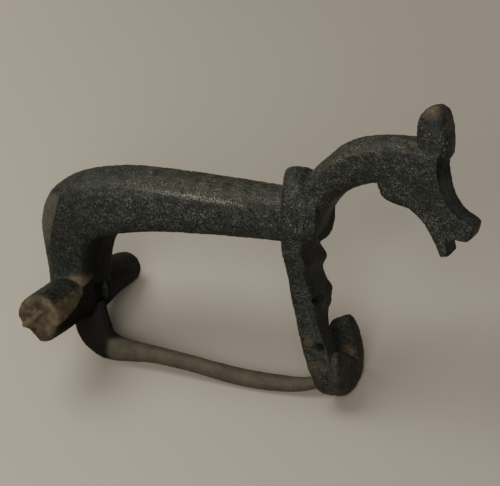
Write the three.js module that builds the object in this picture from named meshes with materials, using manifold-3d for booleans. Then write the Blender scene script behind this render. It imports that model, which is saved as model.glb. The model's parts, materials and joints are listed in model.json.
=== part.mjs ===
// A cast bronze bow brooch of knee type whose bow runs on past its foot into an arched neck and an
// animal head. Three pieces: the cast brooch, the rod through its cross bar, and the pin on the rod.
//
// The pieces are shaped in the brooch's own frame, in millimetres. Its origin is the hinge's axis at
// the middle of the cross bar, x runs from the hinge towards the head, y along the cross bar and z
// from the pin up to the bow. At the end the brooch is laid down on its pin side, where it rests on
// the catch, the bend of the pin and the +y end of the cross bar.
import * as THREE from "three";
import { mergeVertices } from "three/addons/utils/BufferGeometryUtils.js";
import Module from "manifold-3d";

const wasm = await Module();
wasm.setup();

// Driving dimensions, in millimetres.
const BAR_NEAR_END = -8.0; // the cross bar's worn and broken end
const BAR_FAR_END = 10.1;
const BORE_RADIUS = 0.75;
const ROD_RADIUS = 0.66;
const ROD_PROUD = 0.35; // the rod's ends stand out of the cross bar
const END_DISH_RADIUS = 1.1; // worn hollow around the rod's end
const END_DISH_DEPTH = 0.45;
const SLOT_HALF_WIDTH = 1.15; // the slot in the cross bar that takes the pin's head
const HEAD_HALF_WIDTH = 0.95; // the pin's head, across the slot
const EYE_RADIUS = 2.0; // the pin's head, around the rod
const SLOT_RADIUS = 2.35;
const PIN_GROOVE_GAP = 0.3; // between the pin and the groove that it lies in
const REST_UP = new THREE.Vector3(0.0514, -0.4329, 0.9).normalize(); // upwards, where it rests
const REST_WEAR = 0.16; // depth of the small flats worn where it touches the ground

// Turns three.js geometry into a solid, and a solid back into geometry.
function solidOf(geometry) {
  const plain = geometry.clone();
  plain.deleteAttribute("normal");
  plain.deleteAttribute("uv");
  const merged = mergeVertices(plain, 1e-4);
  const triVerts = new Uint32Array(merged.index.array);
  const vertProperties = merged.attributes.position.array;
  const made = new wasm.Manifold(new wasm.Mesh({ numProp: 3, vertProperties, triVerts }));
  if (made.volume() >= 0) return made;
  for (let i = 0; i < triVerts.length; i += 3) {
    [triVerts[i + 1], triVerts[i + 2]] = [triVerts[i + 2], triVerts[i + 1]];
  }
  return new wasm.Manifold(new wasm.Mesh({ numProp: 3, vertProperties, triVerts }));
}

function geometryOf(solid) {
  const made = solid.getMesh();
  const geometry = new THREE.BufferGeometry();
  geometry.setAttribute("position", new THREE.BufferAttribute(made.vertProperties, 3));
  geometry.setIndex(new THREE.BufferAttribute(made.triVerts, 1));
  geometry.computeVertexNormals();
  return geometry;
}

const union = (...solids) => solids.reduce((all, next) => all.add(next));

// A number drawn towards 1 or -1, which turns a circle into a rounded box as the power nears 0.
const squared = (value, power) => Math.sign(value) * Math.pow(Math.abs(value), power);

// A closed body through rings of points, with a fan of triangles over each end.
function loft(rings) {
  const count = rings[0].length;
  const middle = (ring) =>
    ring.reduce((sum, p) => sum.add(p), new THREE.Vector3()).divideScalar(ring.length);
  const points = [...rings.flat(), middle(rings[0]), middle(rings[rings.length - 1])];
  const first = rings.length * count;
  const last = first + 1;
  const index = [];
  for (let j = 0; j < count; j += 1) {
    const k = (j + 1) % count;
    for (let i = 0; i + 1 < rings.length; i += 1) {
      const [a, b, c, d] = [i * count + j, i * count + k, (i + 1) * count + k, (i + 1) * count + j];
      index.push(a, b, c, a, c, d);
    }
    index.push(first, k, j);
    index.push(last, (rings.length - 1) * count + j, (rings.length - 1) * count + k);
  }
  const geometry = new THREE.BufferGeometry().setFromPoints(points);
  geometry.setIndex(index);
  return solidOf(geometry);
}

// Runs a smooth curve through rows of numbers and returns as many rows along it.
function smoothRows(rows, steps) {
  const columns = rows[0].length;
  const curves = [];
  for (let c = 0; c < columns; c += 1) {
    const line = rows.map((row, i) => new THREE.Vector2(i, row[c]));
    curves.push(new THREE.SplineCurve(line));
  }
  return Array.from({ length: steps + 1 }, (_, i) =>
    curves.map((curve) => curve.getPoint(i / steps).y),
  );
}

// A cross-section in (across, out): a crowned back over upright sides and a flatter underside.
// A dome of 0.5 runs round into the sides; above that it meets them at an arris.
function crownedSection(halfWidth, crown, depth, dome, sides = 24) {
  const points = [];
  for (let i = 0; i < sides; i += 1) {
    const angle = (i / sides) * 2 * Math.PI;
    const across = Math.cos(angle);
    const out = Math.sin(angle);
    if (out >= 0) {
      points.push([halfWidth * across, crown * Math.pow(1 - across * across, dome)]);
    } else {
      const power = 0.55;
      points.push([halfWidth * squared(across, power), depth * squared(out, power)]);
    }
  }
  return points;
}

// A run of crowned sections. A row holds the crest's x and z, the underside's x and z, the half
// width, and the share of the height that the crown takes.
function crownedRun(rows, steps, dome) {
  const rings = smoothRows(rows, steps).map(([cx, cz, ux, uz, halfWidth, share]) => {
    const crest = new THREE.Vector3(cx, 0, cz);
    const under = new THREE.Vector3(ux, 0, uz);
    const height = crest.distanceTo(under);
    const out = crest.clone().sub(under).normalize();
    const arris = crest.clone().addScaledVector(out, -share * height);
    const section = crownedSection(halfWidth, share * height, (1 - share) * height, dome);
    return section.map(([across, up]) =>
      arris.clone().addScaledVector(out, up).add(new THREE.Vector3(0, across, 0)),
    );
  });
  return loft(rings);
}

// A round bar along y through rows of y, radius and how far its middle stands above the y axis.
function barAlongY(rows, sides) {
  const rings = rows.map(([y, radius, rise = 0]) =>
    Array.from({ length: sides }, (_, i) => {
      const angle = (i / sides) * 2 * Math.PI;
      return new THREE.Vector3(radius * Math.cos(angle), y, rise + radius * Math.sin(angle));
    }),
  );
  return loft(rings);
}

// The corners of a drawn path, each once, running anticlockwise.
function outlineOf(path, perCurve = 6) {
  const points = path.getPoints(perCurve);
  const corners = points.filter((p, i) => p.distanceTo(points[(i + 1) % points.length]) > 1e-3);
  return THREE.ShapeUtils.isClockWise(corners) ? corners.reverse() : corners;
}

// A plate in the xz plane from an outline in (x, z), centred on y = 0, with its edges rounded off.
function plate(outline, halfWidth, edge) {
  const count = outline.length;
  const inward = outline.map((point, i) => {
    const before = outline[(i + count - 1) % count];
    const after = outline[(i + 1) % count];
    const along = after.clone().sub(before).normalize();
    return new THREE.Vector2(-along.y, along.x);
  });
  const rows = [
    [-halfWidth, edge],
    [-halfWidth + 0.3 * edge, 0.3 * edge],
    [-halfWidth + edge, 0],
    [halfWidth - edge, 0],
    [halfWidth - 0.3 * edge, 0.3 * edge],
    [halfWidth, edge],
  ];
  const points = [];
  for (const [y, inset] of edge > 0 ? rows : [rows[0], rows[5]]) {
    outline.forEach((point, i) => {
      const at = point.clone().addScaledVector(inward[i], inset);
      points.push(new THREE.Vector3(at.x, y, at.y));
    });
  }
  const index = [];
  for (let start = 0; start + count < points.length; start += count) {
    for (let j = 0; j < count; j += 1) {
      const k = (j + 1) % count;
      index.push(start + j, start + k, start + count + k);
      index.push(start + j, start + count + k, start + count + j);
    }
  }
  const last = points.length - count;
  for (const [a, b, c] of THREE.ShapeUtils.triangulateShape([...outline], [])) {
    index.push(a, c, b);
    index.push(last + a, last + b, last + c);
  }
  const geometry = new THREE.BufferGeometry().setFromPoints(points);
  geometry.setIndex(index);
  return geometry;
}

// The cross bar: two arms, thickest where the bow grows out of it. A row holds y, the radius and how
// far the middle stands above the hinge's axis.
function crossBar() {
  const rows = [
    [BAR_NEAR_END, 1.95, 0],
    [BAR_NEAR_END + 0.4, 2.3, 0],
    [-5.0, 2.35, 0.12],
    [-2.6, 2.4, 0.25],
    [0, 2.6, 0.2],
    [2.6, 2.4, 0.2],
    [5.0, 2.08, 0.3],
    [7.5, 1.85, 0.25],
    [BAR_FAR_END - 0.35, 1.62, 0.15],
    [BAR_FAR_END, 1.35, 0.15],
  ];
  return barAlongY(smoothRows(rows, 20), 24);
}

// The piece broken from the lower corner of the cross bar's end: everything beyond a slanting face.
function brokenCorner() {
  const faceFromAxis = 1.5;
  const size = 6;
  const block = new THREE.BoxGeometry(size, size, size);
  block.translate(-size / 2 - faceFromAxis, 0, 0);
  block.rotateZ(THREE.MathUtils.degToRad(-14));
  block.rotateY(THREE.MathUtils.degToRad(-46));
  block.translate(0, BAR_NEAR_END, 0);
  return solidOf(block);
}

// The bow, from the cross bar up its back, round the knee and along to the collar.
function bow() {
  const rows = [
    [-2.3, 0.2, 2.0, 0.0, 3.5, 0.4],
    [-2.8, 2.9, 2.6, 2.4, 2.9, 0.4],
    [-3.2, 5.3, 3.0, 4.7, 3.0, 0.4],
    [-3.4, 7.8, 3.6, 6.25, 3.25, 0.4],
    [-2.6, 10.3, 4.75, 7.0, 3.45, 0.42],
    [-0.2, 12.2, 6.3, 7.35, 3.5, 0.44],
    [3.5, 13.22, 7.8, 7.58, 3.4, 0.46],
    [8.0, 13.5, 10.2, 7.85, 3.25, 0.46],
    [15.0, 13.3, 15.3, 8.1, 3.0, 0.46],
    [21.0, 12.98, 21.3, 8.2, 2.8, 0.46],
    [23.2, 13.0, 23.6, 7.9, 2.7, 0.46],
  ];
  return crownedRun(rows, 34, 0.52);
}

// The collar round the end of the bow, above the foot, its crest set back a little.
function collar() {
  const rows = [
    [21.3, 12.9, 21.3, 8.2, 2.7, 0.45],
    [21.35, 14.2, 21.4, 7.8, 3.05, 0.45],
    [21.85, 14.85, 21.9, 7.3, 3.15, 0.45],
    [23.1, 14.85, 23.0, 7.1, 3.15, 0.45],
    [23.7, 14.4, 23.5, 7.4, 2.9, 0.45],
    [24.6, 14.3, 24.6, 8.2, 2.5, 0.45],
  ];
  const setBack = 0.33;
  return crownedRun(rows, 10, 0.55).warp((point) => {
    point[0] += setBack * Math.abs(point[1]);
  });
}

// The neck, arching up and forward from the collar.
function neck() {
  const rows = [
    [22.8, 13.7, 23.4, 7.9, 2.5, 0.3],
    [24.1, 14.75, 24.9, 9.0, 2.4, 0.29],
    [25.6, 16.2, 25.65, 11.0, 2.3, 0.28],
    [27.2, 17.5, 27.2, 13.0, 2.2, 0.27],
    [29.3, 18.25, 29.4, 14.1, 2.15, 0.27],
    [32.0, 18.55, 31.8, 14.3, 2.1, 0.27],
    [35.0, 18.5, 34.8, 14.0, 2.0, 0.27],
  ];
  return crownedRun(rows, 20, 0.85);
}

// The head in profile: cheek, lower jaw, open mouth, muzzle and forehead.
function head() {
  const shape = new THREE.Path();
  shape.moveTo(30.6, 16.4);
  shape.lineTo(30.5, 14.6);
  shape.quadraticCurveTo(31.1, 12.9, 32.4, 12.75);
  shape.bezierCurveTo(34.4, 12.5, 35.3, 10.6, 36.15, 8.75);
  shape.lineTo(36.3, 8.35);
  shape.lineTo(37.15, 8.55);
  shape.lineTo(36.85, 9.6);
  shape.quadraticCurveTo(37.1, 10.2, 37.9, 9.95);
  shape.quadraticCurveTo(38.85, 9.75, 39.05, 10.5);
  shape.lineTo(39.25, 11.25);
  shape.quadraticCurveTo(39.05, 11.7, 38.1, 12.05);
  shape.quadraticCurveTo(36.6, 13.1, 36.35, 14.75);
  shape.lineTo(36.1, 15.9);
  shape.lineTo(36.1, 17.4);
  shape.lineTo(34.4, 17.2);
  shape.lineTo(32.4, 16.9);
  const cheekHalfWidth = 2.05;
  const muzzleHalfWidth = 1.45;
  const taperFrom = 16.0;
  const taperTo = 10.0;
  const geometry = plate(outlineOf(shape), cheekHalfWidth, 0.3);
  const place = geometry.attributes.position;
  for (let i = 0; i < place.count; i += 1) {
    const share = 1 - THREE.MathUtils.smoothstep(place.getZ(i), taperTo, taperFrom);
    const scale = THREE.MathUtils.lerp(1, muzzleHalfWidth / cheekHalfWidth, share);
    place.setY(i, place.getY(i) * scale);
  }
  return solidOf(geometry);
}

// An upright post of rounded sections. A row holds z, the lowest and highest x, and the lowest and
// highest y.
function post(rows, steps, sides, corner) {
  const rings = smoothRows(rows, steps).map(([z, x0, x1, y0, y1]) =>
    Array.from({ length: sides }, (_, i) => {
      const angle = ((i + 0.5) / sides) * 2 * Math.PI;
      const x = (x0 + x1) / 2 + ((x1 - x0) / 2) * squared(Math.cos(angle), corner);
      const y = (y0 + y1) / 2 + ((y1 - y0) / 2) * squared(Math.sin(angle), corner);
      return new THREE.Vector3(x, y, z);
    }),
  );
  return loft(rings);
}

// The ears, cast as one upright tab on the crown of the head.
function ears() {
  const rows = [
    [16.0, 33.9, 36.05, -1.5, 1.5],
    [16.6, 33.8, 36.3, -1.6, 1.6],
    [17.2, 33.75, 36.75, -1.7, 1.7],
    [18.6, 33.72, 36.76, -1.75, 1.75],
    [19.8, 33.75, 36.6, -1.7, 1.7],
    [20.6, 34.0, 36.4, -1.55, 1.55],
    [21.1, 34.5, 36.15, -1.2, 1.2],
    [21.4, 35.15, 35.85, -0.6, 0.6],
  ];
  return post(rows, 14, 20, 0.62);
}

// The foot: a strip that comes down from the collar, broad across the bow and thinning downwards.
function foot() {
  const rows = [
    [10.0, 21.9, 24.9, -2.95, 2.4],
    [7.9, 21.9, 24.3, -2.85, 2.2],
    [6.6, 22.15, 24.7, -2.7, 2.55],
    [5.4, 22.4, 24.6, -2.5, 2.2],
    [4.2, 22.55, 25.0, -2.35, 2.4],
    [2.8, 22.75, 25.4, -2.25, 2.45],
    [1.4, 23.15, 25.5, -2.2, 1.3],
    [-0.2, 23.5, 26.0, -2.2, 0.45],
    [-2.0, 24.0, 26.75, -2.15, 0.15],
    [-3.6, 24.55, 27.1, -2.15, 0.1],
    [-4.6, 25.0, 27.2, -1.95, 0.0],
  ];
  return post(rows, 24, 18, 0.45);
}

// The catch: the foot's strip bent under the pin and back up on the far side, its lip leaning in.
// A row holds the strip's middle in y and z, its half thickness, its lowest and highest x, and how
// far its edge towards the hinge lies below the other.
function catchHook() {
  const rows = [
    [-1.4, -3.2, 0.7, 24.6, 27.0, 0],
    [-1.1, -4.9, 0.7, 25.0, 27.4, 0],
    [0.1, -5.75, 0.6, 25.5, 27.6, 0],
    [2.1, -5.8, 0.6, 25.5, 27.8, 0],
    [3.65, -4.8, 0.75, 25.3, 27.85, 0],
    [3.9, -3.0, 0.85, 25.0, 27.75, 0.1],
    [3.4, -1.1, 0.8, 24.9, 27.5, 0.4],
    [2.8, 0.1, 0.65, 24.9, 27.2, 0.8],
    [2.4, 0.55, 0.5, 25.0, 26.9, 1.0],
  ];
  const steps = smoothRows(rows, 28);
  const corner = 0.5;
  const sides = 16;
  const rings = steps.map(([y, z, half, x0, x1, drop], i) => {
    const before = steps[Math.max(i - 1, 0)];
    const after = steps[Math.min(i + 1, steps.length - 1)];
    const along = new THREE.Vector2(after[0] - before[0], after[1] - before[1]).normalize();
    return Array.from({ length: sides }, (_, j) => {
      const angle = ((j + 0.5) / sides) * 2 * Math.PI;
      const offset = half * squared(Math.sin(angle), corner);
      const x = (x0 + x1) / 2 + ((x1 - x0) / 2) * squared(Math.cos(angle), corner);
      const fall = (drop * (x1 - x)) / (x1 - x0);
      return new THREE.Vector3(x, y - along.y * offset, z + along.x * offset - fall);
    });
  });
  return loft(rings);
}

// The catch is closed at its end towards the head by a wall, its top highest at the foot. A row holds
// x, the lowest and highest y, the lowest z, and the top's z at the foot and at the lip.
function catchEnd() {
  const rows = [
    [26.3, -1.6, 3.4, -5.5, -1.9, -4.2],
    [26.6, -1.85, 3.7, -5.75, -1.35, -3.9],
    [26.95, -1.9, 3.75, -5.85, -1.1, -3.8],
    [27.25, -1.85, 3.7, -5.75, -1.3, -3.85],
    [27.55, -1.6, 3.4, -5.6, -1.8, -4.1],
  ];
  const sides = 20;
  const corner = 0.5;
  const rings = rows.map(([x, y0, y1, z0, atFoot, atLip]) =>
    Array.from({ length: sides }, (_, i) => {
      const angle = ((i + 0.5) / sides) * 2 * Math.PI;
      const y = (y0 + y1) / 2 + ((y1 - y0) / 2) * squared(Math.cos(angle), corner);
      const top = THREE.MathUtils.lerp(atFoot, atLip, (y - y0) / (y1 - y0));
      const z = (z0 + top) / 2 + ((top - z0) / 2) * squared(Math.sin(angle), corner);
      return new THREE.Vector3(x, y, z);
    }),
  );
  return loft(rings);
}

// The slot for the pin's head, round above, and open below, before and behind for the pin's swing.
function pinSlot() {
  const behind = -4;
  const before = 4.6;
  const bottom = -4;
  const backEdge = 0.4;
  const frontEdge = 0.9;
  const chamferAt = 1.6;
  const outline = new THREE.Path();
  outline.moveTo(before, frontEdge);
  outline.lineTo(SLOT_RADIUS, chamferAt);
  outline.lineTo(chamferAt, SLOT_RADIUS);
  outline.absarc(0, 0, SLOT_RADIUS, Math.PI / 2, Math.PI - Math.asin(backEdge / SLOT_RADIUS), false);
  outline.lineTo(behind, backEdge);
  outline.lineTo(behind, bottom);
  outline.lineTo(before, bottom);
  return solidOf(plate(outlineOf(outline), SLOT_HALF_WIDTH, 0));
}

function brooch() {
  const cast = union(
    crossBar(),
    bow(),
    collar(),
    neck(),
    head(),
    ears(),
    foot(),
    catchHook(),
    catchEnd(),
  );
  const reach = 1;
  const dishFloor = 0.3;
  const bore = barAlongY(
    [
      [BAR_NEAR_END - reach, END_DISH_RADIUS],
      [BAR_NEAR_END + END_DISH_DEPTH - dishFloor, END_DISH_RADIUS],
      [BAR_NEAR_END + END_DISH_DEPTH, BORE_RADIUS],
      [BAR_FAR_END - END_DISH_DEPTH, BORE_RADIUS],
      [BAR_FAR_END - END_DISH_DEPTH + dishFloor, END_DISH_RADIUS],
      [BAR_FAR_END + reach, END_DISH_RADIUS],
    ],
    20,
  );
  return cast.subtract(bore).subtract(pinSlot()).subtract(pinGroove()).subtract(brokenCorner());
}

function hingeRod() {
  const chamfer = 0.2;
  return barAlongY(
    [
      [BAR_NEAR_END - ROD_PROUD, ROD_RADIUS - chamfer],
      [BAR_NEAR_END - ROD_PROUD + chamfer, ROD_RADIUS],
      [BAR_FAR_END + ROD_PROUD - chamfer, ROD_RADIUS],
      [BAR_FAR_END + ROD_PROUD, ROD_RADIUS - chamfer],
    ],
    16,
  );
}

// The pin: a flat eye on the rod, a stem that drops below the cross bar and turns towards the
// catch, and a round shank that thins to its tip. A row holds x, y, z, the half height and the
// half width. The same run, thickened, is the groove that the pin's end lies in.
const PIN_ROWS = [
  [0.9, 0, -0.4, 1.9, 0.9],
  [1.2, 0, -2.2, 1.95, 0.92],
  [1.75, 0, -3.6, 1.9, 0.95],
  [3.0, 0, -4.68, 1.52, 0.95],
  [5.2, 0, -4.98, 1.12, 0.9],
  [8.0, 0, -5.0, 0.86, 0.8],
  [12.0, 0.1, -5.4, 0.8, 0.78],
  [16.0, 0.25, -5.98, 0.84, 0.82],
  [19.0, 0.4, -6.18, 0.84, 0.82],
  [22.2, 0.6, -6.12, 0.72, 0.7],
  [24.0, 0.75, -5.78, 0.6, 0.58],
  [25.3, 0.85, -5.35, 0.36, 0.36],
  [26.3, 0.9, -5.1, 0.2, 0.2],
];

function pinRun(rows, steps, extra) {
  const run = smoothRows(rows, steps);
  const sides = 14;
  const rings = run.map(([x, y, z, high, wide], i) => {
    const before = run[Math.max(i - 1, 0)];
    const after = run[Math.min(i + 1, run.length - 1)];
    const along = new THREE.Vector3(after[0] - before[0], 0, after[2] - before[2]).normalize();
    const up = new THREE.Vector3(-along.z, 0, along.x);
    return Array.from({ length: sides }, (_, j) => {
      const angle = (j / sides) * 2 * Math.PI;
      const point = new THREE.Vector3(x, y + (wide + extra) * Math.cos(angle), z);
      return point.addScaledVector(up, (high + extra) * Math.sin(angle));
    });
  });
  return loft(rings);
}

function pin() {
  const bevel = 0.15;
  const eye = barAlongY(
    [
      [-HEAD_HALF_WIDTH, EYE_RADIUS - bevel],
      [-HEAD_HALF_WIDTH + bevel, EYE_RADIUS],
      [HEAD_HALF_WIDTH - bevel, EYE_RADIUS],
      [HEAD_HALF_WIDTH, EYE_RADIUS - bevel],
    ],
    24,
  );
  const hole = barAlongY(
    [
      [-2, BORE_RADIUS],
      [2, BORE_RADIUS],
    ],
    20,
  );
  return union(eye, pinRun(PIN_ROWS, 44, 0)).subtract(hole);
}

// The groove that the pin's end lies in, and its way up into the open catch.
function pinGroove() {
  const tail = PIN_ROWS.slice(-4);
  const [tipX, tipY, tipZ, tipHigh, tipWide] = tail[tail.length - 1];
  const beyondTip = 0.3;
  const groove = pinRun([...tail, [tipX + beyondTip, tipY, tipZ, tipHigh, tipWide]], 16, PIN_GROOVE_GAP);
  const from = 23;
  const width = 1.5;
  const bottom = tipZ - tipHigh;
  const top = tipZ + 2.4;
  const wayUp = new THREE.BoxGeometry(tipX - from, width, top - bottom);
  wayUp.translate((from + tipX) / 2, tipY, (bottom + top) / 2);
  return groove.add(solidOf(wayUp));
}

// How low a solid reaches in the pose it rests in.
function lowest(solid) {
  const place = solid.getMesh().vertProperties;
  let low = Infinity;
  for (let i = 0; i < place.length; i += 3) {
    low = Math.min(low, new THREE.Vector3().fromArray(place, i).dot(REST_UP));
  }
  return low;
}

// Everything below the ground that the brooch rests on.
function ground(level) {
  const size = 80;
  const block = new THREE.BoxGeometry(size, size, size);
  block.translate(0, 0, -size / 2);
  block.applyQuaternion(
    new THREE.Quaternion().setFromUnitVectors(new THREE.Vector3(0, 0, 1), REST_UP),
  );
  block.translate(...REST_UP.clone().multiplyScalar(level).toArray());
  return solidOf(block);
}

const bronze = new THREE.MeshStandardMaterial({ color: 0x34352d, roughness: 0.6, metalness: 0.7 });
const pinBronze = new THREE.MeshStandardMaterial({ color: 0x6a5f4a, roughness: 0.7, metalness: 0.5 });
const rodBronze = new THREE.MeshStandardMaterial({ color: 0x6b563a, roughness: 0.8, metalness: 0.4 });

const castPiece = brooch();
const pinPiece = pin();
const worn = ground(Math.min(lowest(castPiece), lowest(pinPiece)) + REST_WEAR);

const pieces = new THREE.Group();
for (const [name, solid, material] of [
  ["brooch_body", castPiece.subtract(worn), bronze],
  ["hinge_rod", hingeRod(), rodBronze],
  ["pin", pinPiece.subtract(worn), pinBronze],
]) {
  const mesh = new THREE.Mesh(geometryOf(solid), material);
  mesh.name = name;
  pieces.add(mesh);
}

// The brooch is laid down on its pin side, with the middle of its footprint at the origin.
pieces.quaternion.setFromUnitVectors(REST_UP, new THREE.Vector3(0, 0, 1));
const box = new THREE.Box3().setFromObject(pieces, true);
pieces.position.set(-(box.min.x + box.max.x) / 2, -(box.min.y + box.max.y) / 2, -box.min.z);

const group = new THREE.Group();
group.add(pieces);

export default group;
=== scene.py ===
import json
import math

import bmesh
import bpy
import numpy as np
from mathutils import Matrix, Vector, noise


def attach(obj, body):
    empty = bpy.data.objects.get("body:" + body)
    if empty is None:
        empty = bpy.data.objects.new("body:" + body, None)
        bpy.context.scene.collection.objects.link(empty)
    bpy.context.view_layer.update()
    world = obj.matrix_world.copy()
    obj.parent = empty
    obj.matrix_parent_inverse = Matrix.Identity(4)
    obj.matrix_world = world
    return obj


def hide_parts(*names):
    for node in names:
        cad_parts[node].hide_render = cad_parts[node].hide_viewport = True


MM = 0.001

# The brooch's own frame, in millimetres: the origin is the middle of the hinge's axis, x runs towards
# the head, y along the cross bar and z from the pin up to the bow. REST_UP is the world's up in it.
REST_UP = Vector((0.0514, -0.4329, 0.9)).normalized()

# The camera, in the brooch's own frame.
CAMERA_TURN = math.radians(23.0)
CAMERA_RISE = math.radians(16.0)
CAMERA_DISTANCE = 137.6
CAMERA_AIM = Vector((18.0, 0.0, 7.3))
CAMERA_LENS = 108.0

# The fine meshes: the size of their cells and the rounds of smoothing that take the facets off.
BODY_VOXEL = 0.125
ROD_VOXEL = 0.07
PIN_VOXEL = 0.085
SMOOTHING = 4
SEED = 7

# The cross bar's near end, the corrosion that fills the hollow in it, and how far in the rod ends.
BAR_NEAR_END = -8.0
PLUG_RADIUS = 1.3
PLUG_DEPTH = 1.2
ROD_SET_BACK = 0.5

# Painted shade on the floor, which is lighter on one side: the direction in which it darkens and how
# far that goes.
FLOOR_HALF = 1.2
SHADE_DIRECTION = (0.74, 0.67, 0.0)
SHADE_REACH = 45.0

# The lights: name, place, size, power and colour.
LIGHTS = [
    ("key", (-0.20, 0.04, 0.36), 0.28, 1.25, (1.0, 0.97, 0.92)),
    ("fill", (0.10, -0.36, 0.31), 0.30, 1.7, (1.0, 0.98, 0.95)),
]
LIGHT_AIM = (0, 0, 0.01)
WORLD_COLOUR = (1.0, 0.985, 0.95, 1)
WORLD_STRENGTH = 0.205


def own_frame():
    """The matrix from the brooch's own frame to the world, both in millimetres."""
    turn = REST_UP.rotation_difference(Vector((0, 0, 1))).to_matrix().to_4x4()
    hinge = Vector(frame["joints"][0]["pos_m"]) / MM
    return Matrix.Translation(hinge) @ turn


def points_of(mesh):
    flat = np.empty(len(mesh.vertices) * 3)
    mesh.vertices.foreach_get("co", flat)
    return flat.reshape(-1, 3)


def normals_of(mesh):
    flat = np.empty(len(mesh.vertices) * 3)
    mesh.vertices.foreach_get("normal", flat)
    return flat.reshape(-1, 3)


def move(points, matrix):
    m = np.array(matrix)
    return points @ m[:3, :3].T + m[:3, 3]


def apply_modifier(obj, kind, **settings):
    modifier = obj.modifiers.new(kind, kind)
    for key, value in settings.items():
        setattr(modifier, key, value)
    bpy.context.view_layer.objects.active = obj
    bpy.ops.object.modifier_apply(modifier=modifier.name)


def add_plug(mesh):
    """Corrosion that fills the hollow round the rod, flush with the cross bar's near end."""
    middle = (0, BAR_NEAR_END + PLUG_DEPTH / 2, 0)
    place = Matrix.Translation(middle) @ Matrix.Rotation(math.pi / 2, 4, "X")
    parts = bmesh.new()
    parts.from_mesh(mesh)
    shape = {"radius1": PLUG_RADIUS, "radius2": PLUG_RADIUS, "depth": PLUG_DEPTH}
    bmesh.ops.create_cone(parts, cap_ends=True, segments=32, matrix=place, **shape)
    parts.to_mesh(mesh)
    parts.free()


def fine_copy(node, name, voxel, plugged=False):
    """A finely meshed, slightly softened copy of a solid, in its own frame and in millimetres."""
    mesh = frame["nodes"][node].data.copy()
    obj = bpy.data.objects.new(name, mesh)
    bpy.context.scene.collection.objects.link(obj)
    world_to_own = own_frame().inverted()
    points = move(points_of(mesh) / MM, world_to_own)
    mesh.vertices.foreach_set("co", points.ravel())
    mesh.update()
    if plugged:
        add_plug(mesh)
    apply_modifier(obj, "WELD", merge_threshold=0.001)
    apply_modifier(obj, "REMESH", mode="VOXEL", voxel_size=voxel)
    apply_modifier(obj, "SMOOTH", factor=0.5, iterations=SMOOTHING)
    return obj


def grain(points, scale, seed, octaves=1):
    """Smooth noise, about -1 to 1, at each point. Scale is the size of its lumps in millimetres."""
    shift = Vector((seed * 17.3, seed * 5.1, seed * 9.7))
    values = np.empty(len(points))
    for i, p in enumerate(points):
        at = Vector(p) / scale + shift
        value = noise.noise(at)
        if octaves > 1:
            value += 0.5 * noise.noise(at * 2.1)
        values[i] = value
    return values


def near(points, centre, radii):
    """1 at the centre of a soft blob, falling to 0 outside its radii."""
    offset = (points - np.array(centre)) / np.array(radii)
    return np.exp(-1.6 * (offset**2).sum(axis=1))


def along(points, path, radius):
    """1 on a line through the given points, falling to 0 beyond the radius."""
    best = np.full(len(points), 1e9)
    for a, b in zip(path[:-1], path[1:]):
        a, b = np.array(a, float), np.array(b, float)
        span = b - a
        t = np.clip((points - a) @ span / (span @ span), 0, 1)
        best = np.minimum(best, np.linalg.norm(points - a - t[:, None] * span, axis=1))
    return np.exp(-1.6 * (best / radius) ** 2)


def step(x, low, high):
    """0 below low and 1 above high, with a smooth rise between them."""
    t = np.clip((x - low) / (high - low), 0, 1)
    return t * t * (3 - 2 * t)


# Hollows and lumps of the cast brooch: centre, radii and how far the surface moves in or out.
HOLLOWS = [
    ((25.2, -1.4, 3.2), (0.75, 1.0, 0.3), -0.6),
    ((25.75, -2.1, -1.15), (0.45, 0.6, 0.42), -0.5),
    ((25.9, -1.6, -2.4), (0.5, 0.6, 0.9), -0.2),
    ((36.3, 0.0, 15.2), (0.4, 1.6, 0.9), -0.15),
    ((23.9, 0.2, 14.6), (0.35, 2.4, 0.7), -0.12),
    ((36.6, -0.9, 20.4), (0.5, 0.9, 0.3), -0.14),
    ((36.5, -0.6, 19.2), (0.5, 1.2, 0.25), -0.12),
    ((36.3, -0.8, 16.9), (0.5, 1.0, 0.2), -0.1),
]
LUMPS = [
    ((24.7, 2.0, 6.3), (0.8, 0.9, 0.7), 0.25),
    ((25.2, 2.0, 3.4), (0.8, 0.9, 0.7), 0.25),
    ((25.4, 1.6, 2.2), (0.7, 0.8, 0.5), 0.15),
    ((35.5, 0.6, 21.0), (0.8, 0.7, 0.5), 0.06),
    ((31.3, -1.8, 13.6), (0.7, 0.8, 0.6), 0.12),
]
# Grooves: a path, a radius and a depth. A ridge has a depth below nought.
GROOVES = [
    ([(24.8, -2.2, 2.6), (25.15, -2.15, 1.3), (25.55, -2.1, 0.1), (25.8, -2.0, -1.1)], 0.3, 0.2),
    ([(21.7, -3.1, 13.4), (21.8, -3.2, 11.5), (21.7, -3.1, 8.2)], 0.2, 0.16),
    ([(23.9, -2.8, 13.4), (24.1, -2.9, 12.2)], 0.3, 0.1),
]
# The broken end of the cross bar, which the rod's end is corroded into.
END_LUMPS = [
    ((-1.2, -8.0, 0.9), (0.9, 0.8, 0.9), 0.1),
    ((0.9, -8.0, -1.3), (0.9, 0.8, 0.9), 0.1),
]
END_RIDGE = [(-1.5, -8.0, -0.75), (-0.4, -8.1, 0.1), (0.3, -8.1, 0.75)]
END_GROOVES = [
    (END_RIDGE, 0.4, -0.3),
    ([(-0.4, -8.0, 1.7), (0.5, -8.0, 1.5), (1.0, -8.0, 1.1)], 0.34, -0.14),
    ([(-0.9, -8.0, 0.2), (0.0, -8.0, 1.15)], 0.3, 0.12),
    ([(-0.55, -8.0, -1.15), (0.1, -8.1, -0.75), (0.9, -8.0, -0.4)], 0.3, 0.16),
]
# Painted light and shade along the cross bar's near arm, on the side with x above nought: a facet
# painted brown as lit, with painted shade below its lower edge, given as (y, z).
LIT_FACET_EDGE = [
    (-8.4, -0.5),
    (-6.2, 0.1),
    (-5.0, 0.45),
    (-4.1, 0.85),
    (-3.1, 1.3),
    (-2.0, 2.3),
    (-1.2, 3.2),
]
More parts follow.
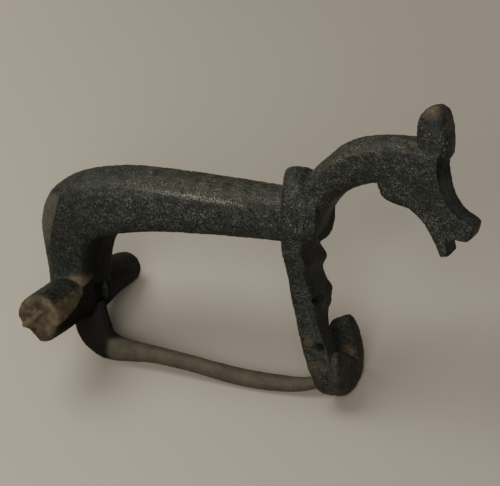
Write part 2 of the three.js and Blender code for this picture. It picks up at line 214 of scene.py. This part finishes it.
# The strip down the back of the knee: the x of its edge, as (z, x).
STRIP_EDGE = [(5.5, -1.5), (5.9, -1.4), (6.8, -1.17), (8.1, -0.81), (9.0, -0.53), (10.3, -0.33)]
# Painted highlights: the bright line along the bow's shoulder, and the thin one along the neck's.
BOW_HIGHLIGHT_LINE = [
    (7.0, -2.9, 12.1),
    (10.3, -2.8, 12.0),
    (12.8, -2.8, 11.9),
    (17.2, -2.7, 11.7),
    (20.0, -2.7, 11.5),
]
NECK_HIGHLIGHT_LINE = [(27.7, -2.15, 16.6), (28.25, -2.11, 16.94), (29.3, -2.06, 17.28), (30.5, -2.07, 17.43)]


def corrode(obj, rough, lumpy, share=1.0, hollows=(), grooves=()):
    """Works the corroded skin into a fine mesh: lumps, grain, pits and single hollows."""
    mesh = obj.data
    points = points_of(mesh)
    normals = normals_of(mesh)
    out = lumpy * grain(points, 2.6, SEED, 2)
    out += 0.5 * lumpy * grain(points, 0.9, SEED + 1)
    out += rough * grain(points, 0.3, SEED + 2, 2)
    pits = grain(points, 0.6, SEED + 3)
    out -= 2.0 * rough * step(pits, 0.35, 0.65)
    out *= share
    for centre, radii, height in hollows:
        out += height * near(points, centre, radii)
    for path, radius, depth in grooves:
        out -= depth * along(points, path, radius)
    mesh.vertices.foreach_set("co", (points + normals * out[:, None]).ravel())
    mesh.update()


def store(obj, name, values):
    """Keeps a value from 0 to 1 at each point, for the material to read."""
    attribute = obj.data.attributes.new(name, "FLOAT", "POINT")
    attribute.data.foreach_set("value", np.clip(values, 0, 1).astype(np.float32))


def to_world(obj):
    """Takes a mesh from the brooch's own frame in millimetres to the world in metres."""
    mesh = obj.data
    mesh.vertices.foreach_set("co", (move(points_of(mesh), own_frame()) * MM).ravel())
    mesh.update()
    mesh.shade_smooth()


# Where brown corrosion shows on the cast brooch, and one place painted lighter as if lit: centre, radii
# and strength.
BROWN_PLACES = [
    ((35.3, -0.9, 21.0), (1.3, 1.6, 0.9), 1.1),
    ((36.5, -0.4, 19.9), (0.5, 1.3, 1.4), 0.9),
    ((33.5, -1.2, 18.2), (1.0, 1.0, 0.5), 0.7),
    ((30.6, -1.9, 14.2), (0.5, 0.7, 0.7), 0.6),
    ((25.2, -2.2, -3.4), (1.5, 0.9, 1.7), 0.7),
    ((24.7, -2.2, -0.6), (0.9, 0.6, 0.8), 0.6),
    # Painted light: the inside of the catch, made lighter brown as if lit.
    ((26.6, 2.9, -3.2), (1.2, 1.0, 1.4), 1.2),
    ((24.4, -0.8, 14.7), (0.7, 1.6, 0.5), 0.6),
    ((21.2, -2.6, 12.2), (0.7, 1.0, 1.4), 0.5),
    ((26.6, -1.4, -5.6), (1.2, 1.5, 0.7), 0.5),
    ((27.6, 0.6, -4.4), (0.6, 2.2, 1.6), 0.4),
]
# Painted shade: where the skin is made dark and smooth in hollows and grooves, and round the slot by
# the hinge, which also has dark patina.
SHADE_AND_PATINA_PLACES = [
    ((25.75, -2.1, -1.2), (0.45, 0.6, 0.45), 1.0),
    ((25.2, -1.4, 3.2), (0.6, 0.9, 0.3), 1.0),
    ((25.8, 3.2, -0.9), (1.6, 0.9, 0.7), 0.8),
    ((-0.5, -8.2, -1.05), (0.35, 0.5, 0.3), 0.9),
    ((2.6, -0.8, 2.2), (1.5, 2.0, 3.2), 1.0),
]


def blobs(points, places):
    """The strongest of several soft blobs at each point."""
    total = np.zeros(len(points))
    for centre, radii, strength in places:
        total = np.maximum(total, strength * near(points, centre, radii))
    return total


def edge_at(edge, values):
    """An edge's second number, read off at values of its first."""
    table = np.array(edge)
    return np.interp(values, table[:, 0], table[:, 1])


def body_surface():
    """The cast brooch. Each mask is 1 where its part of the surface lies and 0 elsewhere."""
    obj = fine_copy("brooch_body", "brooch_surface", BODY_VOXEL, plugged=True)
    points = points_of(obj.data)
    normals = normals_of(obj.data)
    x, y, z = points.T
    nx, ny, nz = normals.T
    wander = grain(points, 1.3, SEED + 4, 2)
    ragged = grain(points, 0.5, SEED + 6, 2)
    strip = step(edge_at(STRIP_EDGE, z) - x + 0.03 * ragged, -0.06, 0.06)
    strip *= step(z, 5.4, 6.6) * step(10.9 - z + 0.3 * wander, 0.0, 0.7)
    crown = step(nz + 0.1 * wander, 0.5, 0.75) * step(23.5 - x, 0.0, 2.0) * step(z, 7.0, 10.0)
    crown *= 0.5 + 0.5 * step(x, 5.0, 14.0)
    neck_crown = step(0.86 - np.abs(ny), 0.0, 0.1) * step(nz - nx, 0.1, 0.3) * step(x, 24.0, 25.5)
    neck_crown *= step(34.0 - x, 0.0, 1.0)
    leg_side = step(nx, 0.4, 0.65) * step(12.5 - z, 0.0, 2.0) * step(x, 20.0, 22.0)
    leg_side *= 1 - step(-z, 2.5, 4.0)
    leg = step(x, 19.0, 21.0) * step(9.0 - z, 0.0, 2.0)
    hook = step(x + 0.3 * wander, 26.0, 27.0) * step(1.0 - z, 0.0, 1.5)
    forehead = step(nx, 0.35, 0.6) * step(x, 34.5, 35.5) * step(17.5 - z, 0.0, 1.0)
    forehead *= 1 - 0.8 * step(15.8 - z, 0.0, 1.5)
    neck_under = step(nx - nz, 0.2, 0.8) * step(x, 21.0, 22.0) * step(31.0 - x, 0.0, 2.0)
    neck_under *= step(z, 6.0, 8.0)
    # Painted light and shade on the near arm: the facet above the edge is painted brown as lit, and the
    # arm below it is painted dark as shade.
    above_edge = z - edge_at(LIT_FACET_EDGE, y)
    on_arm = step(-y, 1.2, 2.2) * step(3.6 - z, 0.0, 1.0) * step(x, 0.2, 0.6) * (x < 5.0)
    lit_facet = on_arm * step(above_edge + 0.08 * ragged, -0.05, 0.15)
    lit_facet *= step(0.97 - nz + 0.12 * ragged, 0.0, 0.4) * (1 - 0.3 * step(y, -3.5, -2.0))
    end_face = step(-y + 0.1 * ragged, 7.1, 7.7)
    under_arm = on_arm * step(-above_edge, -0.05, 0.15) * (1 - end_face)
    far_arm = step(y, 2.6, 3.6) * step(4.2 - z, 0.0, 1.0) * step(4.5 - x, 0.0, 1.0)
    root = step(nx, 0.1, 0.6) * step(x, 1.0, 2.0) * step(8.0 - z, 0.0, 1.5) * step(6.0 - x, 0.0, 2.0)
    # Painted shade on faces turned from the light: the leg's side, the forehead, under the neck, under
    # the near arm, the far arm and the bow's root.
    shade = np.maximum.reduce([0.4 * leg_side, 0.8 * forehead, 0.25 * neck_under])
    shade = np.maximum.reduce([shade, 0.5 * under_arm, 0.7 * far_arm, 0.9 * root])
    head_side = step(np.abs(ny), 0.6, 0.9) * step(x, 24.0, 27.0) * step(z, 9.0, 12.0)
    towards_knee = step(8.0 - x, 0.0, 8.0)
    smooth = np.maximum.reduce([0.7 * strip, 0.6 * leg_side, 0.5 * towards_knee, 0.9 * shade])
    rough_share = 1 - 0.8 * np.maximum(smooth, 0.8 * end_face)
    corrode(obj, 0.05, 0.05, rough_share, HOLLOWS + LUMPS + END_LUMPS, GROOVES + END_GROOVES)
    # Painted highlight: a line of glinting specks along the bow's shoulder.
    painted_highlight = along(points, BOW_HIGHLIGHT_LINE, 0.3) * step(x, 5.5, 12.5) * step(20.0 - x, 0.0, 5.0)
    ridge = 1.3 * along(points, END_RIDGE, 0.5) * end_face
    # Brown corrosion and the broken end, with painted light: the lit facet, the neck's highlight line
    # and the lit inside of the catch.
    brown = np.maximum.reduce([blobs(points, BROWN_PLACES), lit_facet, 0.75 * end_face, ridge])
    brown = np.maximum.reduce([brown, along(points, NECK_HIGHLIGHT_LINE, 0.16), 0.42 * hook])
    # Painted shade: the shaded places, the faces turned from the light and a little on the head's
    # sides, with some random tone; the lit facet near the hinge is kept clear.
    dark = np.maximum.reduce([blobs(points, SHADE_AND_PATINA_PLACES), shade, 0.17 * head_side])
    store(obj, "painted_highlight", 0.6 * painted_highlight * (1 + 0.4 * wander))
    store(obj, "olive", np.maximum(0.9 * crown, 0.75 * neck_crown) * (0.95 + 0.2 * wander))
    store(obj, "strip", strip * (0.9 + 0.25 * wander))
    store(obj, "brown", brown * (1 + 0.5 * wander))
    store(obj, "dark", dark * (1 - 0.9 * lit_facet * (x < 2.6)) + 0.06 * wander)
    store(obj, "grain", 1 - np.maximum.reduce([smooth, lit_facet, 0.8 * end_face, 0.4 * leg, 0.75 * hook]))
    to_world(obj)
    return obj


def rod_surface():
    """The hinge's rod, which ends inside the plug at the near end."""
    obj = fine_copy("hinge_rod", "rod_surface", ROD_VOXEL)
    points = points_of(obj.data)
    points[:, 1] = np.maximum(points[:, 1], BAR_NEAR_END + ROD_SET_BACK)
    obj.data.vertices.foreach_set("co", points.ravel())
    obj.data.update()
    corrode(obj, 0.03, 0.05)
    to_world(obj)
    return obj


def pin_surface():
    """The pin, tan on its shank, with painted shade that makes its stem near black."""
    obj = fine_copy("pin", "pin_surface", PIN_VOXEL)
    corrode(obj, 0.02, 0.03)
    points = points_of(obj.data)
    wander = grain(points, 1.5, SEED + 5, 2)
    x, y, z = points.T
    # Painted shade: the stem, near the hinge, is marked to be painted near black.
    store(obj, "stem", 1 - step(x + 0.3 * wander, 2.3, 4.4) * step(-z, 3.2, 4.2))
    to_world(obj)
    return obj


class Nodes:
    """A small helper that adds shader nodes to a new material and joins them."""

    def __init__(self, name):
        self.material = bpy.data.materials.new(name)
        self.material.use_nodes = True
        self.tree = self.material.node_tree
        self.shader = self.tree.nodes["Principled BSDF"]
        coordinates = self.tree.nodes.new("ShaderNodeTexCoord")
        scale = self.tree.nodes.new("ShaderNodeMapping")
        scale.inputs["Scale"].default_value = (1 / MM, 1 / MM, 1 / MM)
        self.tree.links.new(coordinates.outputs["Object"], scale.inputs["Vector"])
        self.place = scale.outputs["Vector"]

    def put(self, target, value):
        if isinstance(value, bpy.types.NodeSocket):
            self.tree.links.new(value, target)
        else:
            target.default_value = value

    def noise(self, scale, detail=2.0, roughness=0.5):
        node = self.tree.nodes.new("ShaderNodeTexNoise")
        self.put(node.inputs["Vector"], self.place)
        self.put(node.inputs["Scale"], scale)
        self.put(node.inputs["Detail"], detail)
        self.put(node.inputs["Roughness"], roughness)
        return node.outputs["Fac"]

    def attribute(self, name):
        node = self.tree.nodes.new("ShaderNodeAttribute")
        node.attribute_name = name
        return node.outputs["Fac"]

    def ramp(self, value, low, high, start=0.0, end=1.0):
        node = self.tree.nodes.new("ShaderNodeMapRange")
        node.interpolation_type = "SMOOTHSTEP"
        self.put(node.inputs["Value"], value)
        for key, number in zip(("From Min", "From Max", "To Min", "To Max"), (low, high, start, end)):
            self.put(node.inputs[key], number)
        return node.outputs["Result"]

    def math(self, kind, a, b):
        node = self.tree.nodes.new("ShaderNodeMath")
        node.operation = kind
        self.put(node.inputs[0], a)
        self.put(node.inputs[1], b)
        return node.outputs[0]

    def mix(self, share, a, b):
        node = self.tree.nodes.new("ShaderNodeMix")
        node.data_type = "RGBA"
        self.put(node.inputs["Factor"], share)
        self.put(node.inputs["A"], a)
        self.put(node.inputs["B"], b)
        return node.outputs["Result"]

    def bump(self, height, strength, distance, before=None):
        node = self.tree.nodes.new("ShaderNodeBump")
        self.put(node.inputs["Height"], height)
        self.put(node.inputs["Strength"], strength)
        self.put(node.inputs["Distance"], distance * MM)
        if before is not None:
            self.put(node.inputs["Normal"], before)
        return node.outputs["Normal"]


DARK_GREEN = (0.0062, 0.0075, 0.0063, 1)
GREEN_GREY = (0.0200, 0.0230, 0.0185, 1)
PALE_SPECK = (0.122, 0.128, 0.104, 1)
WARM_SPECK = (0.110, 0.102, 0.074, 1)
OLIVE = (0.0405, 0.0395, 0.0245, 1)
# The colour of the painted highlight's glints.
HIGHLIGHT_GLINT = (0.270, 0.255, 0.205, 1)
STRIP = (0.082, 0.079, 0.051, 1)
OLIVE_DARK = (0.0160, 0.0166, 0.0112, 1)
BROWN = (0.040, 0.031, 0.0195, 1)
OCHRE = (0.118, 0.088, 0.050, 1)
# NEAR_BLACK is the colour of the painted shade.
NEAR_BLACK = (0.0085, 0.0080, 0.0072, 1)
PIN_TAN = (0.068, 0.057, 0.037, 1)
PIN_DARK = (0.040, 0.034, 0.023, 1)
FLOOR_LIGHT = (0.410, 0.367, 0.299, 1)
FLOOR_DARK = (0.275, 0.248, 0.204, 1)


def patina():
    """Dark green crust with pale specks, olive on the crowns and the knee's strip and brown in patches,
    with painted highlights, lit patches and shade painted in.
    """
    n = Nodes("patina_bronze")
    broad = n.noise(0.35, 4.0, 0.6)
    middle = n.noise(1.4, 3.0, 0.6)
    fine = n.noise(3.4, 4.0, 0.7)
    cluster = n.ramp(n.noise(1.0, 3.0, 0.6), 0.38, 0.62, 0.25, 1.0)
    grainy = n.math("MULTIPLY", n.attribute("grain"), cluster)
    colour = n.mix(n.ramp(fine, 0.38, 0.66), DARK_GREEN, GREEN_GREY)
    olive = n.mix(n.ramp(middle, 0.35, 0.65), OLIVE_DARK, OLIVE)
    olive_share = n.math("MULTIPLY", n.attribute("olive"), n.ramp(broad, 0.3, 0.6, 0.6, 1.0))
    colour = n.mix(olive_share, colour, olive)
    bared = n.mix(n.ramp(fine, 0.3, 0.7), OLIVE, STRIP)
    colour = n.mix(n.math("MULTIPLY", n.attribute("strip"), 0.85), colour, bared)
    coarse_speck = n.math("MULTIPLY", n.ramp(n.noise(5.4, 1.0, 0.5), 0.58, 0.7, 0.0, 0.5), grainy)
    fine_speck = n.math("MULTIPLY", n.ramp(n.noise(9.5, 1.0, 0.5), 0.54, 0.68, 0.0, 0.95), grainy)
    speck = n.mix(n.ramp(n.noise(2.2, 1.0, 0.5), 0.45, 0.6), PALE_SPECK, WARM_SPECK)
    colour = n.mix(coarse_speck, colour, speck)
    colour = n.mix(fine_speck, colour, speck)
    # Painted highlight: bright glints along the bow's shoulder.
    highlight_glints = n.math("MULTIPLY", n.ramp(n.noise(6.0, 2.0, 0.6), 0.4, 0.62), n.attribute("painted_highlight"))
    colour = n.mix(highlight_glints, colour, HIGHLIGHT_GLINT)
    # Brown corrosion in patches, together with painted light on the lit facet, the neck's highlight
    # line and the catch's inside.
    brown_and_painted_light = n.ramp(n.attribute("brown"), 0.6, 1.0, 0.12, 0.8)
    ochre_share = n.math("MULTIPLY", n.ramp(middle, 0.3, 0.6, 0.15, 1.0), brown_and_painted_light)
    brown = n.mix(ochre_share, BROWN, OCHRE)
    patchy = n.math("MULTIPLY", n.attribute("brown"), n.ramp(fine, 0.2, 0.6, 0.6, 1.2))
    colour = n.mix(n.ramp(patchy, 0.2, 0.8, 0.0, 0.9), colour, brown)
    # Painted shade: the dark attribute turns the colour near black.
    colour = n.mix(n.math("MULTIPLY", n.attribute("dark"), 0.92), colour, NEAR_BLACK)
    n.put(n.shader.inputs["Base Color"], colour)
    n.put(n.shader.inputs["Roughness"], n.ramp(fine, 0.3, 0.7, 0.42, 0.6))
    n.put(n.shader.inputs["Metallic"], 0.0)
    n.put(n.shader.inputs["Specular IOR Level"], n.ramp(n.attribute("dark"), 0.2, 0.9, 0.16, 0.03))
    skin = n.bump(n.noise(4.2, 3.0, 0.65), 0.6, 0.09)
    n.put(n.shader.inputs["Normal"], n.bump(n.noise(11.0, 1.0, 0.5), 0.45, 0.045, skin))
    return n.material


def pin_patina():
    n = Nodes("pin_bronze")
    fine = n.noise(4.5, 4.0, 0.7)
    middle = n.noise(0.9, 3.0, 0.6)
    colour = n.mix(n.ramp(middle, 0.3, 0.7, 0.25, 1.0), PIN_DARK, PIN_TAN)
    colour = n.mix(n.math("MULTIPLY", n.ramp(fine, 0.52, 0.72), 0.3), colour, OCHRE)
    # Painted shade: the stem is painted near black.
    colour = n.mix(n.ramp(n.attribute("stem"), 0.2, 0.8, 0.0, 0.95), colour, NEAR_BLACK)
    n.put(n.shader.inputs["Base Color"], colour)
    n.put(n.shader.inputs["Roughness"], n.ramp(fine, 0.3, 0.7, 0.55, 0.75))
    n.put(n.shader.inputs["Specular IOR Level"], n.ramp(n.attribute("stem"), 0.2, 0.8, 0.25, 0.06))
    n.put(n.shader.inputs["Normal"], n.bump(n.noise(4.0, 3.0, 0.65), 0.4, 0.06))
    return n.material


def rod_patina():
    n = Nodes("rod_bronze")
    fine = n.noise(3.0, 3.0, 0.6)
    colour = n.mix(n.ramp(fine, 0.4, 0.65), BROWN, OCHRE)
    n.put(n.shader.inputs["Base Color"], colour)
    n.put(n.shader.inputs["Roughness"], n.ramp(fine, 0.3, 0.7, 0.5, 0.75))
    n.put(n.shader.inputs["Specular IOR Level"], 0.25)
    n.put(n.shader.inputs["Normal"], n.bump(n.noise(4.0, 3.0, 0.6), 0.6, 0.1))
    return n.material


def paper():
    """The pale floor, with painted shade that darkens it along one direction."""
    n = Nodes("floor_paper")
    across = n.tree.nodes.new("ShaderNodeVectorMath")
    across.operation = "DOT_PRODUCT"
    n.put(across.inputs[0], n.place)
    n.put(across.inputs[1], SHADE_DIRECTION)
    # Painted shade: the floor's colour darkens along one direction.
    floor_shade = n.ramp(across.outputs["Value"], -SHADE_REACH, SHADE_REACH)
    n.put(n.shader.inputs["Base Color"], n.mix(floor_shade, FLOOR_LIGHT, FLOOR_DARK))
    n.put(n.shader.inputs["Roughness"], 0.9)
    n.put(n.shader.inputs["Specular IOR Level"], 0.15)
    return n.material


def dress(obj, material, node, body):
    """Gives a surface its material, hides the solid it stands for and attaches it to the body it moves
    with.
    """
    obj.data.materials.clear()
    obj.data.materials.append(material)
    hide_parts(node)
    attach(obj, body)


def area_light(name, place, size, power, colour):
    lamp = bpy.data.lights.new(name, "AREA")
    lamp.shape = "DISK"
    lamp.size = size
    lamp.energy = power
    lamp.color = colour
    obj = bpy.data.objects.new(name, lamp)
    obj.location = place
    towards = Vector(LIGHT_AIM) - Vector(place)
    obj.rotation_euler = towards.to_track_quat("-Z", "Y").to_euler()
    bpy.context.scene.collection.objects.link(obj)


def add_floor():
    mesh = bpy.data.meshes.new("floor")
    signs = [(-1, -1), (1, -1), (1, 1), (-1, 1)]
    corners = [(FLOOR_HALF * x, FLOOR_HALF * y, 0) for x, y in signs]
    mesh.from_pydata(corners, [], [(0, 1, 2, 3)])
    obj = bpy.data.objects.new("floor", mesh)
    mesh.materials.append(paper())
    bpy.context.scene.collection.objects.link(obj)


def add_camera():
    a, e = CAMERA_TURN, CAMERA_RISE
    back = Vector((math.sin(a) * math.cos(e), -math.cos(a) * math.cos(e), math.sin(e)))
    right = Vector((math.cos(a), math.sin(a), 0))
    up = back.cross(right)
    to_floor = own_frame()
    turn = to_floor.to_3x3() @ Matrix((right, up, back)).transposed()
    place = to_floor @ (CAMERA_AIM + CAMERA_DISTANCE * back)
    data = bpy.data.cameras.new("camera")
    data.lens = CAMERA_LENS
    data.sensor_fit = "HORIZONTAL"
    data.sensor_width = 36.0
    data.clip_start = 0.01
    obj = bpy.data.objects.new("camera", data)
    obj.matrix_world = Matrix.Translation(place * MM) @ turn.to_4x4()
    bpy.context.scene.collection.objects.link(obj)
    bpy.context.scene.camera = obj


def add_lights():
    for light in LIGHTS:
        area_light(*light)
    world = bpy.data.worlds.new("studio")
    world.use_nodes = True
    background = world.node_tree.nodes["Background"]
    background.inputs["Color"].default_value = WORLD_COLOUR
    background.inputs["Strength"].default_value = WORLD_STRENGTH
    bpy.context.scene.world = world


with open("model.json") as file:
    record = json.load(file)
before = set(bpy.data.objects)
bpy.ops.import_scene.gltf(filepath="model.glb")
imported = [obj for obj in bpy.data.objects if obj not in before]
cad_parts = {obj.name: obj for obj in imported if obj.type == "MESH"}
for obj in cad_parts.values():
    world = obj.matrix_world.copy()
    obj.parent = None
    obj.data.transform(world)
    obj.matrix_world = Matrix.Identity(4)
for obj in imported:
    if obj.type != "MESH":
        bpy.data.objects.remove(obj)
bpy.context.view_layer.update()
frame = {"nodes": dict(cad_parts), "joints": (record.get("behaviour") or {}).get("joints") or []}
dress(body_surface(), patina(), "brooch_body", "brooch")
dress(rod_surface(), rod_patina(), "hinge_rod", "brooch")
dress(pin_surface(), pin_patina(), "pin", "pin")
add_floor()
add_lights()
add_camera()
